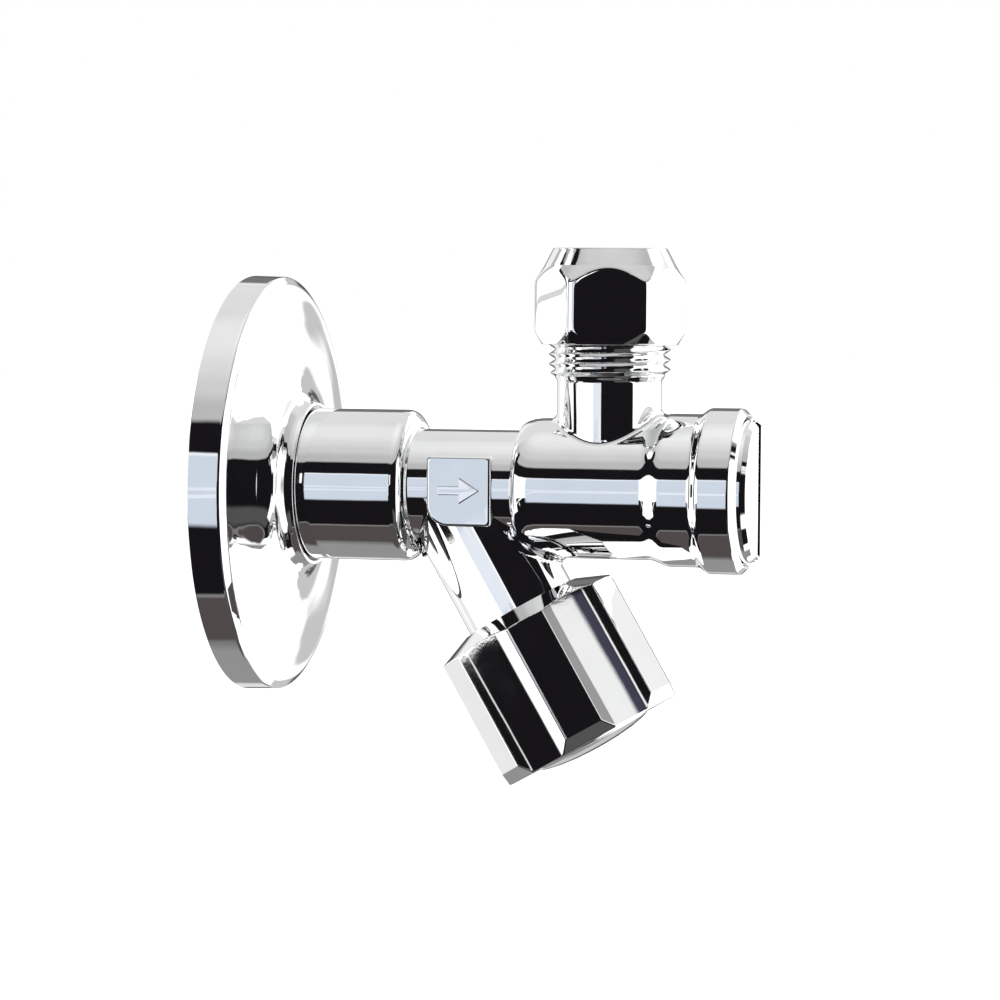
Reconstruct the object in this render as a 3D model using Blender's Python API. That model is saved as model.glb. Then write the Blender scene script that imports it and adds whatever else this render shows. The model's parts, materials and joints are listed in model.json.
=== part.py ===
"""Chrome angle stop valve with a built-in strainer, modelled in metres, +Z up.

The origin is where the inlet axis meets the wall. The body runs out from the wall
along +X, the compression outlet points up, and the handle points down and out.
Sizes are in millimetres. A turned outline lists (place along the axis, radius).
"""

import math

import bmesh
import bpy
from mathutils import Vector

MM = 0.001  # meshes are made in metres

# Body, along the tube axis, measured from the wall
INLET_THREAD_RADIUS = 10.48  # G 1/2
INLET_THREAD_ROOT = 9.32
INLET_PITCH = 1.814
INLET_END = -4.4
INLET_BORE = 5.5
SEAL_GROOVE_START = 2.0
SEAL_GROOVE_RADIUS = 9.22
COLLAR_START = 5.0
COLLAR_END = 22.5
COLLAR_RADIUS = 10.48
COLLAR_EDGE_RADIUS = 8.6
NECK_START = 24.1
NECK_RADIUS = 7.85
CHAMBER_START = 39.0
CHAMBER_SHOULDER = 3.0
CHAMBER_EDGE_RADIUS = 8.4
CHAMBER_RADIUS = 9.6
FIRST_STEP = 57.1
FIRST_STEP_LENGTH = 2.7
MIDDLE_RADIUS = 10.45
SECOND_STEP = 63.8
SECOND_STEP_LENGTH = 1.6
RIM_RADIUS = 11.3
RIM_CHAMFER = 0.8
BODY_END = 70.3
PASSAGE_RADIUS = 2.4
PASSAGE_DROP = 4.4
FILTER_BORE = 8.0
CAP_THREAD_BORE = 9.45
CAP_HEAD_BORE = 10.05

# Flow pad on the side of the neck
PAD_LEFT = 27.2
PAD_RIGHT = 36.3
PAD_LOW = -5.1
PAD_HIGH = 4.5
PAD_FACE = -8.25
PAD_CHAMFER = 0.35
PAD_CORNER = 3.0
ARROW_FACE = -8.55
ARROW_TAIL = 28.9
ARROW_HEAD = 31.9
ARROW_TIP = 34.7
ARROW_HEIGHT = -0.2

# Compression outlet, along +Z from the tube axis
OUTLET_X = 50.9
OUTLET_RADIUS = 7.15
OUTLET_BORE = 4.0
OUTLET_THREAD_RADIUS = 8.33  # G 3/8
OUTLET_THREAD_ROOT = 7.45
OUTLET_PITCH = 1.337
OUTLET_THREAD_START = 15.4
OUTLET_TOP = 25.4
TUBE_STOP = 13.5
TUBE_SOCKET = 5.15  # takes a 10 mm tube
NUT_BOTTOM = 19.8
NUT_TOP = 32.9
NUT_FLATS = 18.4
NUT_TURN = math.radians(40.8)
NUT_BORE = 8.65
NUT_TUBE_HOLE = 5.3

# Handle axis, measured from the tube axis, out and down
HANDLE_X = 29.0
HANDLE_TILT = math.radians(150.0)  # turns +Z onto the handle axis, about +Y
PORT_RADIUS = 3.2
SEAT = 6.0
VALVE_BORE = 5.4
BONNET_SEAT = 11.8
BONNET_BORE = 6.4
BOSS_RADIUS = 7.85
BOSS_END = 21.3
HANDLE_START = 19.3
HANDLE_SHOULDER = 21.3
HANDLE_END = 40.0
HANDLE_CHAMFER = 1.8
HANDLE_FLATS = 6
HANDLE_TURN = math.radians(17.4)
HANDLE_MOUTH_SCALE = 0.64
HANDLE_MOUTH_BORE = 8.15
FLAT_CORNER_RADIUS = 13.8
FLAT_CORNER_ANGLE = math.radians(11.13)
BEVEL_CORNER_RADIUS = 13.2
BEVEL_CORNER_ANGLE = math.radians(17.95)

# Spindle and plunger, on the handle axis
SPINDLE_RADIUS = 3.0
SPINDLE_SQUARE = 2.1
SPINDLE_GROOVES = (23.0, 25.8)
SPINDLE_GROOVE_WIDTH = 1.4
CLIP_GROOVE = 29.5
SQUARE_START = 30.5
SQUARE_CLEARANCE = 0.3

# Wall escutcheon
PLATE_RADIUS = 28.9
PLATE_EDGE_RADIUS = 28.2
PLATE_DEPTH = 4.9
PLATE_BORE = 10.8
LIP_RADIUS = 11.45
LIP_FACE = 9.1
SHEET = 0.8

# Filter cap, along the tube axis
CAP_PLUG_RADIUS = 7.7
CAP_SHANK_RADIUS = 8.4
CAP_HEAD_START = 69.3
CAP_HEAD_RADIUS = 9.75
CAP_FACE_RADIUS = 8.9
CAP_FACE = 71.9
CAP_THREAD_START = 60.8
CAP_THREAD_END = 69.0
CAP_THREAD_RADIUS = 9.15
CAP_THREAD_ROOT = 8.45
CAP_PITCH = 1.5
SLOT_WIDTH = 2.4
SLOT_DEPTH = 1.4

CHROME = ("chrome", (0.86, 0.87, 0.88), 0.06, 1.0)
BRASS = ("brass", (0.80, 0.62, 0.32), 0.30, 1.0)
STEEL = ("stainless_steel", (0.66, 0.66, 0.67), 0.28, 1.0)
RUBBER = ("black_rubber", (0.02, 0.02, 0.02), 0.75, 0.0)
PLASTIC = ("white_plastic", (0.82, 0.82, 0.80), 0.45, 0.0)
PTFE = ("ptfe", (0.90, 0.90, 0.88), 0.55, 0.0)
FIBRE = ("fibre", (0.42, 0.16, 0.10), 0.85, 0.0)

SHARP_ANGLE = math.radians(32.0)


def clear_scene():
    for item in list(bpy.data.objects):
        bpy.data.objects.remove(item, do_unlink=True)


def material(piece, spec):
    kind, colour, roughness, metallic = spec
    made = bpy.data.materials.new(piece + "_" + kind)
    made.use_nodes = True
    shader = made.node_tree.nodes["Principled BSDF"]
    shader.inputs["Base Color"].default_value = (*colour, 1.0)
    shader.inputs["Roughness"].default_value = roughness
    shader.inputs["Metallic"].default_value = metallic
    return made


def axis_frame(name, x, tilt):
    """An empty on the tube axis whose +Z is one of the valve's axes."""
    frame = bpy.data.objects.new(name, None)
    frame.empty_display_size = 10.0 * MM
    frame.location = (x * MM, 0.0, 0.0)
    frame.rotation_euler = (0.0, tilt, 0.0)
    bpy.context.collection.objects.link(frame)
    return frame


def finish_mesh(bm, name, frame, spec=None):
    """Turns a bmesh into an object on its axis, shaded smooth with sharp edges kept.

    A shape that only joins or cuts another piece has no material spec.
    """
    bmesh.ops.remove_doubles(bm, verts=bm.verts, dist=1e-6)
    bmesh.ops.dissolve_degenerate(bm, edges=bm.edges, dist=1e-7)
    bmesh.ops.recalc_face_normals(bm, faces=bm.faces)
    mesh = bpy.data.meshes.new(name)
    bm.to_mesh(mesh)
    bm.free()
    mesh.shade_smooth()
    mesh.set_sharp_from_angle(angle=SHARP_ANGLE)
    if spec:
        mesh.materials.append(material(name, spec))
    made = bpy.data.objects.new(name, mesh)
    made.parent = frame
    bpy.context.collection.objects.link(made)
    return made


def turned(name, frame, outline, spec=None, segments=28):
    """Spins an outline of (axial, radius) points round the frame's Z.

    An outline that starts and ends on the axis makes a solid; any other is closed
    on itself and makes a ring.
    """
    bm = bmesh.new()
    verts = [bm.verts.new((radius * MM, 0.0, axial * MM)) for axial, radius in outline]
    edges = [bm.edges.new(pair) for pair in zip(verts, verts[1:])]
    if outline[0][1] > 0.0:
        edges.append(bm.edges.new((verts[-1], verts[0])))
    bmesh.ops.spin(
        bm,
        geom=verts + edges,
        axis=(0.0, 0.0, 1.0),
        cent=(0.0, 0.0, 0.0),
        angle=math.tau,
        steps=segments,
        use_merge=True,
    )
    return finish_mesh(bm, name, frame, spec)


def loft(name, frame, rings, spec=None):
    """Joins closed rings of points, each with the same count, and caps both ends."""
    bm = bmesh.new()
    loops = [[bm.verts.new(point * MM) for point in ring] for ring in rings]
    count = len(loops[0])
    for lower, upper in zip(loops, loops[1:]):
        for i in range(count):
            j = (i + 1) % count
            bm.faces.new((lower[i], lower[j], upper[j], upper[i]))
    bm.faces.new(loops[0])
    bm.faces.new(loops[-1])
    return finish_mesh(bm, name, frame, spec)


def box(name, frame, low, high):
    """A block between two corners."""
    rings = []
    for z in (low[2], high[2]):
        corners = ((low[0], low[1]), (high[0], low[1]), (high[0], high[1]), (low[0], high[1]))
        rings.append([Vector((x, y, z)) for x, y in corners])
    return loft(name, frame, rings)


def threaded_rod(name, frame, start, end, crest, root, pitch, segments=16):
    """A rod with a right-hand V thread whose crests fade out at both ends.

    Each column of points runs along the rod, root and crest in turn, and starts a
    little further on than the last. The first column, two points on, closes the turn.
    """
    bm = bmesh.new()
    half = pitch / 2
    spare_rows = 3
    rows = int((end - start) / half) + 2 * spare_rows
    offset = 0.13 * half  # keeps points off the ends, where they would make slivers
    columns = []
    for i in range(segments):
        angle = math.tau * i / segments
        column = []
        for row in range(rows):
            free = start + pitch * i / segments + (row - spare_rows) * half + offset
            axial = min(max(free, start), end)
            lift = min(crest - root, axial - start, end - axial)
            radius = root + (lift if row % 2 else 0.0)
            column.append(bm.verts.new(ring_points(radius, angle, axial) * MM))
        columns.append(column)
    for i in range(segments):
        here = columns[i]
        wrap = i == segments - 1
        there = columns[0][2:] if wrap else columns[i + 1]
        for a, b, c, d in zip(here, there, there[1:], here[1:]):
            bm.faces.new((a, b, c, d))
    bmesh.ops.remove_doubles(bm, verts=bm.verts, dist=1e-7)
    bmesh.ops.dissolve_degenerate(bm, edges=bm.edges, dist=1e-8)
    bmesh.ops.holes_fill(bm, edges=[edge for edge in bm.edges if edge.is_boundary], sides=0)
    bmesh.ops.triangulate(bm, faces=[face for face in bm.faces if len(face.verts) == 4])
    return finish_mesh(bm, name, frame)


def combine(target, other, operation):
    """Joins, cuts or intersects the target with another piece, which is used up."""
    cut = target.modifiers.new(operation.lower(), "BOOLEAN")
    cut.operation = operation
    cut.object = other
    cut.solver = "EXACT"
    bpy.context.view_layer.update()
    graph = bpy.context.evaluated_depsgraph_get()
    baked = bpy.data.meshes.new_from_object(target.evaluated_get(graph))
    target.modifiers.clear()
    target.data = baked
    baked.name = target.name
    baked.shade_smooth()
    baked.set_sharp_from_angle(angle=SHARP_ANGLE)
    bpy.data.objects.remove(other, do_unlink=True)
    return target


def arc(centre, radii, start, end, steps):
    """Points on a quarter or less of an ellipse, from one angle in degrees to another."""
    points = []
    for i in range(steps + 1):
        angle = math.radians(start + (end - start) * i / steps)
        axial = centre[0] + radii[0] * math.cos(angle)
        points.append((axial, centre[1] + radii[1] * math.sin(angle)))
    return points


def smooth_step(start, end, steps=4):
    """An S-shaped rise from one (axial, radius) point to another, ends left out."""
    points = []
    for i in range(1, steps):
        share = i / steps
        rise = share * share * (3.0 - 2.0 * share)
        axial = start[0] + (end[0] - start[0]) * share
        points.append((axial, start[1] + (end[1] - start[1]) * rise))
    return points


def ring_points(radius, angle, axial):
    return Vector((radius * math.cos(angle), radius * math.sin(angle), axial))


def body_tube(frame):
    """Collar, neck, strainer chamber and rim, as one turned outline."""
    outline = [(SEAL_GROOVE_START, 0.0), (SEAL_GROOVE_START, SEAL_GROOVE_RADIUS)]
    outline += [(COLLAR_START, SEAL_GROOVE_RADIUS), (COLLAR_START, COLLAR_RADIUS)]
    rounding = (NECK_START - COLLAR_END, COLLAR_RADIUS - COLLAR_EDGE_RADIUS)
    outline += arc((COLLAR_END, COLLAR_EDGE_RADIUS), rounding, 90, 0, 3)
    outline += [(NECK_START, NECK_RADIUS), (CHAMBER_START, NECK_RADIUS)]
    shoulder_end = CHAMBER_START + CHAMBER_SHOULDER
    rounding = (CHAMBER_SHOULDER, CHAMBER_RADIUS - CHAMBER_EDGE_RADIUS)
    outline += arc((shoulder_end, CHAMBER_EDGE_RADIUS), rounding, 180, 90, 3)
    first = (FIRST_STEP, CHAMBER_RADIUS)
    first_top = (FIRST_STEP + FIRST_STEP_LENGTH, MIDDLE_RADIUS)
    outline += [first, *smooth_step(first, first_top), first_top]
    second = (SECOND_STEP, MIDDLE_RADIUS)
    second_top = (SECOND_STEP + SECOND_STEP_LENGTH, RIM_RADIUS)
    outline += [second, *smooth_step(second, second_top), second_top]
    outline += [(BODY_END - RIM_CHAMFER, RIM_RADIUS), (BODY_END, RIM_RADIUS - RIM_CHAMFER)]
    outline += [(BODY_END, 0.0)]
    return turned("valve_body", frame, outline, CHROME, 36)


def flow_pad(frame):
    """Raised pad on the neck, its lower inner corner rounded, with a flow arrow on it."""
    front = arc((PAD_LEFT + PAD_CORNER, PAD_LOW + PAD_CORNER), (PAD_CORNER, PAD_CORNER), 180, 270, 4)
    front += [(PAD_RIGHT, PAD_LOW), (PAD_RIGHT, PAD_HIGH), (PAD_LEFT, PAD_HIGH)]
    middle = (PAD_LEFT + PAD_RIGHT) / 2
    inside = PAD_FACE + 4.25
    rings = []
    for depth, inset in ((inside, 0.0), (PAD_FACE + PAD_CHAMFER, 0.0), (PAD_FACE, PAD_CHAMFER)):
        ring = []
        for x, z in front:
            x += inset if x < middle else -inset
            z += inset if z < 0.0 else -inset
            ring.append(Vector((x, depth, z)))
        rings.append(ring)
    pad = loft("pad", frame, rings)
    shaft, barb = 0.6, 1.8
    outline = [(ARROW_TAIL, -shaft), (ARROW_HEAD, -shaft), (ARROW_HEAD, -barb), (ARROW_TIP, 0.0)]
    outline += [(ARROW_HEAD, barb), (ARROW_HEAD, shaft), (ARROW_TAIL, shaft)]
    rings = []
    for depth in (PAD_FACE + 0.25, ARROW_FACE):
        rings.append([Vector((x, depth, z + ARROW_HEIGHT)) for x, z in outline])
    return combine(pad, loft("arrow", frame, rings), "UNION")


def passage(tube):
    """Water way from the valve bore to the strainer chamber, below the tube axis."""
    outline = [(36.0, 0.0), (36.0, PASSAGE_RADIUS), (42.5, PASSAGE_RADIUS), (42.5, 0.0)]
    made = turned("passage", tube, outline, segments=20)
    for vert in made.data.vertices:
        vert.co.x += PASSAGE_DROP * MM
    return made


def body_additions(world, tube, outlet, handle):
    """Threads, outlet pipe, handle boss and pad, which all grow out of the turned tube."""
    pipe = [(2.0, 0.0), (2.0, OUTLET_RADIUS), (7.2, OUTLET_RADIUS), (15.0, OUTLET_RADIUS)]
    pipe += [(16.0, OUTLET_RADIUS + 0.2), (16.0, 0.0)]
    boss = [(1.0, 0.0), (1.0, BOSS_RADIUS), (BOSS_END, BOSS_RADIUS), (BOSS_END, 0.0)]
    inlet = (INLET_END, SEAL_GROOVE_START + 0.4, INLET_THREAD_RADIUS, INLET_THREAD_ROOT, INLET_PITCH)
    top = (OUTLET_THREAD_START, OUTLET_TOP, OUTLET_THREAD_RADIUS, OUTLET_THREAD_ROOT, OUTLET_PITCH)
    return [
        threaded_rod("inlet_thread", tube, *inlet),
        turned("outlet_pipe", outlet, pipe),
        threaded_rod("outlet_thread", outlet, *top),
        turned("boss", handle, boss),
        flow_pad(world),
    ]


def body_bores(tube, outlet, handle):
    """The water way: inlet, valve seat and bore, passage, strainer chamber and tube socket."""
    inlet = [(INLET_END - 1.0, 0.0), (INLET_END - 1.0, INLET_BORE), (25.0, INLET_BORE)]
    inlet += [(27.0, 3.0), (27.0, 0.0)]
    valve = [(-3.0, 0.0), (-3.0, PORT_RADIUS), (SEAT, PORT_RADIUS), (SEAT, VALVE_BORE)]
    valve += [(BONNET_SEAT, VALVE_BORE), (BONNET_SEAT, BONNET_BORE)]
    valve += [(BOSS_END + 1.7, BONNET_BORE), (BOSS_END + 1.7, 0.0)]
    chamber = [(41.5, 0.0), (41.5, FILTER_BORE), (60.6, FILTER_BORE), (60.6, CAP_THREAD_BORE)]
    chamber += [(CAP_THREAD_END, CAP_THREAD_BORE), (CAP_THREAD_END, CAP_HEAD_BORE)]
    chamber += [(BODY_END + 0.7, CAP_HEAD_BORE), (BODY_END + 0.7, 0.0)]
    socket = [(0.0, 0.0), (0.0, OUTLET_BORE), (TUBE_STOP, OUTLET_BORE), (TUBE_STOP, TUBE_SOCKET)]
    socket += [(22.2, TUBE_SOCKET), (22.6, 5.8), (OUTLET_TOP, 6.85)]
    socket += [(OUTLET_TOP + 1.1, 6.85), (OUTLET_TOP + 1.1, 0.0)]
    return [
        turned("inlet", tube, inlet, segments=24),
        turned("valve_bore", handle, valve, segments=26),
        passage(tube),
        turned("filter_bore", tube, chamber, segments=32),
        turned("outlet_bore", outlet, socket, segments=24),
    ]


def valve_body(world, tube, outlet, handle):
    body = body_tube(tube)
    for piece in body_additions(world, tube, outlet, handle):
        combine(body, piece, "UNION")
    for cutter in body_bores(tube, outlet, handle):
        combine(body, cutter, "DIFFERENCE")
    return body


def wall_escutcheon(tube):
    """Pressed sheet disc with a conical edge and a trumpet-shaped centre ending in a lip."""
    edge = PLATE_EDGE_RADIUS
    depth = PLATE_DEPTH
    outer = [(0.0, PLATE_RADIUS), (depth - 0.5, edge)]
    outer += [(depth + 0.15, edge - 0.45), (depth + 0.45, edge - 1.4)]
    outer += [(depth + 0.75, 22.0)]
    outer += [(depth + 1.0, 17.5), (depth + 1.5, 14.6), (depth + 2.4, 12.5), (depth + 3.3, 11.7)]
    outer += [(LIP_FACE - 0.45, LIP_RADIUS), (LIP_FACE, LIP_RADIUS - 0.15)]
    inner = [(LIP_FACE, PLATE_BORE), (depth + 2.4, PLATE_BORE), (depth + 1.4, 12.0)]
    inner += [(depth + 0.4, 15.0), (depth - 0.1, 18.0), (depth - 0.35, 24.0)]
    inner += [(depth - 0.6, edge - 2.0), (depth - 1.4, edge - SHEET), (0.0, PLATE_RADIUS - SHEET)]
    return turned("wall_escutcheon", tube, outer + inner, CHROME, 48)


def inlet_seal_ring(tube):
    outline = [(2.8, 9.55), (4.6, 9.55), (4.6, 10.3), (4.3, 10.5), (3.1, 10.5), (2.8, 10.3)]
    return turned("inlet_seal_ring", tube, outline, PTFE, 24)


def hexagon(name, frame, corner, turn, low, high, spec=None):
    rings = []
    for axial in (low, high):
        rings.append([ring_points(corner, turn + math.radians(60.0 * i), axial) for i in range(6)])
    return loft(name, frame, rings, spec)


def compression_nut(outlet):
    """Hexagon with a domed top, a chamfered foot and a clear bore over the thread."""
    corner = NUT_FLATS / 2 / math.cos(math.radians(30.0))
    turn = NUT_TURN + math.radians(30.0)
    nut = hexagon("compression_nut", outlet, corner, turn, NUT_BOTTOM, NUT_TOP, CHROME)
    low = NUT_BOTTOM
    form = [(low, 0.0), (low, 9.3), (low + 2.4, 10.7), (low + 8.0, 10.7)]
    form += [(low + 9.0, 10.1), (low + 10.1, 9.3), (low + 11.8, 8.45)]
    form += [(NUT_TOP, 7.75), (NUT_TOP, 0.0)]
    combine(nut, turned("nut_form", outlet, form, segments=36), "INTERSECT")
    bore = [(low - 1.0, 0.0), (low - 1.0, NUT_BORE), (low + 8.5, NUT_BORE), (low + 8.5, 7.0)]
    bore += [(low + 10.7, NUT_TUBE_HOLE), (NUT_TOP + 1.0, NUT_TUBE_HOLE), (NUT_TOP + 1.0, 0.0)]
    return combine(nut, turned("nut_bore", outlet, bore, segments=36), "DIFFERENCE")


def compression_ferrule(outlet):
    outline = [(25.3, 5.1), (25.3, 5.45), (27.1, 6.15), (28.2, 6.15), (29.9, 5.45), (29.9, 5.1)]
    return turned("compression_ferrule", outlet, outline, BRASS, 24)


def filter_cap(tube, world):
    """Slotted end cap: sealing plug, thread and head, hollow towards the strainer."""
    outline = [(57.0, 0.0), (57.0, CAP_PLUG_RADIUS), (58.2, CAP_PLUG_RADIUS), (58.2, 6.2)]
    outline += [(60.4, 6.2), (60.4, CAP_PLUG_RADIUS), (61.5, CAP_PLUG_RADIUS)]
    outline += [(61.5, CAP_SHANK_RADIUS), (CAP_HEAD_START, CAP_SHANK_RADIUS)]
    outline += [(CAP_HEAD_START, CAP_HEAD_RADIUS), (CAP_FACE - 1.0, CAP_HEAD_RADIUS)]
    outline += [(CAP_FACE - 0.3, CAP_FACE_RADIUS + 0.35), (CAP_FACE, CAP_FACE_RADIUS), (CAP_FACE, 0.0)]
    cap = turned("filter_cap", tube, outline, CHROME, 36)
    thread = (CAP_THREAD_START, CAP_THREAD_END, CAP_THREAD_RADIUS, CAP_THREAD_ROOT, CAP_PITCH)
    combine(cap, threaded_rod("cap_thread", tube, *thread), "UNION")
    hollow = [(56.0, 0.0), (56.0, 5.5), (66.0, 5.5), (66.0, 0.0)]
    combine(cap, turned("cap_hollow", tube, hollow, segments=24), "DIFFERENCE")
    low = (CAP_FACE - SLOT_DEPTH, -SLOT_WIDTH / 2, -CAP_HEAD_RADIUS - 2.0)
    high = (CAP_FACE + 1.0, SLOT_WIDTH / 2, CAP_HEAD_RADIUS + 2.0)
    return combine(cap, box("slot", world, low, high), "DIFFERENCE")


def ring_section(name, frame, centre, radius, thickness, spec, segments=24):
    """A round-section ring; centre is its place on the axis and radius its mid radius."""
    sides = 6
    outline = []
    for i in range(sides):
        angle = math.tau * (i + 0.5) / sides
        swing = (thickness / 2 * math.cos(angle), thickness / 2 * math.sin(angle))
        outline.append((centre + swing[0], radius + swing[1]))
    return turned(name, frame, outline, spec, segments)


def filter_frame(tube):
    """Plastic cage: a foot ring, four ribs and a tail that plugs into the cap."""
    outline = [(42.0, 4.4), (42.0, 7.6), (43.5, 7.6), (43.5, 4.4)]
    frame = turned("filter_frame", tube, outline, PLASTIC, 24)
    tail = [(55.5, 4.4), (55.5, 7.0), (56.6, 7.0), (56.6, 5.2), (64.0, 5.2), (64.0, 4.4)]
    combine(frame, turned("tail", tube, tail, segments=24), "UNION")
    for i in range(4):
        rib = box("rib", tube, (6.1, -0.6, 43.0), (6.9, 0.6, 56.0))
        angle = math.radians(45.0 + 90.0 * i)
        for vert in rib.data.vertices:
            x, y = vert.co.x, vert.co.y
            vert.co.x = x * math.cos(angle) - y * math.sin(angle)
            vert.co.y = x * math.sin(angle) + y * math.cos(angle)
        combine(frame, rib, "UNION")
    return frame


def filter_screen(tube):
    """Perforated steel sleeve: a rolled grid with a square hole in each cell."""
    columns, rows = 12, 4
    start, end, radius = 43.8, 55.2, 5.4
    bm = bmesh.new()
    grid = []
    for row in range(rows + 1):
        axial = start + (end - start) * row / rows
        ring = []
        for i in range(columns):
            ring.append(bm.verts.new(ring_points(radius, math.tau * i / columns, axial) * MM))
        grid.append(ring)
    for lower, upper in zip(grid, grid[1:]):
        for i in range(columns):
            j = (i + 1) % columns
            corners = (lower[i], lower[j], upper[j], upper[i])
            middle = sum((corner.co for corner in corners), Vector()) / 4
            hole = [bm.verts.new(corner.co.lerp(middle, 0.5)) for corner in corners]
            for side in range(4):
                after = (side + 1) % 4
                bm.faces.new((corners[side], corners[after], hole[after], hole[side]))
    screen = finish_mesh(bm, "filter_screen", tube, STEEL)
    wall = screen.modifiers.new("wall", "SOLIDIFY")
    wall.thickness = 0.35 * MM
    wall.offset = 0.0
    return screen


def bonnet(handle):
    """Screw-in headwork with a plunger chamber below and a spindle bore above."""
    outline = [(12.2, 4.7), (12.2, 6.1), (22.5, 6.1), (22.5, 7.6), (24.8, 7.6), (24.8, 5.2)]
    outline += [(29.0, 5.2), (29.0, 3.3), (21.2, 3.3), (21.2, 4.7)]
    made = turned("bonnet", handle, outline, BRASS, 24)
    return combine(made, hexagon("flats", handle, 7.7, 0.0, 10.0, 35.0), "INTERSECT")


def bonnet_gasket(handle):
    return turned("bonnet_gasket", handle, [(21.6, 6.5), (21.6, 7.6), (22.2, 7.6), (22.2, 6.5)], FIBRE, 20)


def spindle(handle):
    """Non-rising spindle: driving thread, thrust collar, two seal grooves, clip groove, square."""
    shaft = SPINDLE_RADIUS
    outline = [(14.0, 0.0), (14.0, 2.2), (19.5, 2.2), (19.5, 4.2), (20.9, 4.2), (20.9, shaft)]
    for groove in SPINDLE_GROOVES:
        end = groove + SPINDLE_GROOVE_WIDTH
        outline += [(groove, shaft), (groove, 1.9), (end, 1.9), (end, shaft)]
    outline += [(CLIP_GROOVE, shaft), (CLIP_GROOVE, 2.3), (CLIP_GROOVE + 0.8, 2.3)]
    outline += [(CLIP_GROOVE + 0.8, shaft), (SQUARE_START + 0.2, shaft), (SQUARE_START + 0.2, 0.0)]
    made = turned("spindle", handle, outline, BRASS, 16)
    low = (-SPINDLE_SQUARE, -SPINDLE_SQUARE, SQUARE_START)
    high = (SPINDLE_SQUARE, SPINDLE_SQUARE, 35.2)
    combine(made, box("square", handle, low, high), "UNION")
    hole = [(31.0, 0.0), (31.0, 1.55), (36.0, 1.55), (36.0, 0.0)]
    return combine(made, turned("screw_hole", handle, hole, segments=10), "DIFFERENCE")


def spindle_o_rings(handle):
    for name, groove in zip(("inner", "outer"), SPINDLE_GROOVES):
        centre = groove + SPINDLE_GROOVE_WIDTH / 2
        ring_section("spindle_o_ring_" + name, handle, centre, 2.6, 0.9, RUBBER, 14)


def spindle_clip(handle):
    """Open retaining ring that sits in the groove above the bonnet."""
    low, high = CLIP_GROOVE + 0.2, CLIP_GROOVE + 0.6
    outline = [(low, 2.5), (low, 4.3), (high, 4.3), (high, 2.5)]
    made = turned("spindle_clip", handle, outline, STEEL, 16)
    mouth = box("mouth", handle, (0.0, -1.1, low - 1.0), (6.0, 1.1, high + 1.0))
    return combine(made, mouth, "DIFFERENCE")


def valve_plunger(handle):
    """Cup that climbs the spindle thread and carries the seat washer; a key stops it turning."""
    outline = [(8.6, 1.6), (8.6, 4.3), (16.0, 4.3), (16.0, 2.5), (10.5, 2.5), (10.5, 1.6)]
    return turned("valve_plunger", handle, outline, BRASS, 20)


def seat_washer(handle):
    return turned("seat_washer", handle, [(6.3, 1.7), (6.3, 4.6), (8.3, 4.6), (8.3, 1.7)], RUBBER, 20)


def washer_screw(handle):
    """Pan-head screw that clamps the seat washer, its head inside the port."""
    outline = [(4.6, 0.0), (4.6, 1.8), (4.9, 2.3), (6.0, 2.3), (6.0, 1.3), (10.3, 1.3), (10.3, 0.0)]
    made = turned("washer_screw", handle, outline, STEEL, 14)
    return combine(made, box("drive", handle, (-3.0, -0.3, 4.0), (3.0, 0.3, 5.2)), "DIFFERENCE")


def handle_outline(axial, flats_cut):
    """Cross-section of the knob: wide flats with bevelled sides, plain stretches between.

    Where flats_cut is true, a chamfer has taken each wide flat back to its bevels.
    """
    ring = []
    pitch = math.tau / HANDLE_FLATS
    for i in range(HANDLE_FLATS):
        centre = HANDLE_TURN + pitch * i
        ring.append(ring_points(BEVEL_CORNER_RADIUS, centre - BEVEL_CORNER_ANGLE, axial))
        if flats_cut:
            half = FLAT_CORNER_RADIUS * math.sin(FLAT_CORNER_ANGLE)
            depth = BEVEL_CORNER_RADIUS * math.cos(BEVEL_CORNER_ANGLE)
            radius, swing = math.hypot(half, depth), math.atan2(half, depth)
        else:
            radius, swing = FLAT_CORNER_RADIUS, FLAT_CORNER_ANGLE
        ring.append(ring_points(radius, centre - swing, axial))
        ring.append(ring_points(radius, centre + swing, axial))
        ring.append(ring_points(BEVEL_CORNER_RADIUS, centre + BEVEL_CORNER_ANGLE, axial))
    return ring


def handle_knob(handle):
    """Hollow knob with a shallow cone towards the boss and a hub on the spindle square."""
    mouth = []
    for point in handle_outline(HANDLE_START, True):
        mouth.append(Vector((point.x * HANDLE_MOUTH_SCALE, point.y * HANDLE_MOUTH_SCALE, point.z)))
    rings = [
        mouth,
        handle_outline(HANDLE_SHOULDER, False),
        handle_outline(HANDLE_END - HANDLE_CHAMFER, False),
        handle_outline(HANDLE_END, True),
    ]
    knob = loft("handle", handle, rings, CHROME)
    hollow = [(HANDLE_START - 1.3, 0.0), (HANDLE_START - 1.3, HANDLE_MOUTH_BORE)]
    hollow += [(HANDLE_SHOULDER, HANDLE_MOUTH_BORE), (22.4, 9.8), (37.4, 9.8), (37.4, 5.2)]
    hollow += [(31.0, 5.2), (31.0, 0.0)]
    combine(knob, turned("hollow", handle, hollow), "DIFFERENCE")
    recess = [(41.0, 0.0), (41.0, 8.8), (38.9, 8.8), (38.9, 3.9), (37.2, 3.9), (37.2, 1.7)]
    recess += [(35.0, 1.7), (35.0, 0.0)]
    combine(knob, turned("recess", handle, recess), "DIFFERENCE")
    half = SPINDLE_SQUARE + SQUARE_CLEARANCE
    square = box("square_hole", handle, (-half, -half, 30.0), (half, half, 35.6))
    return combine(knob, square, "DIFFERENCE")


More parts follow.
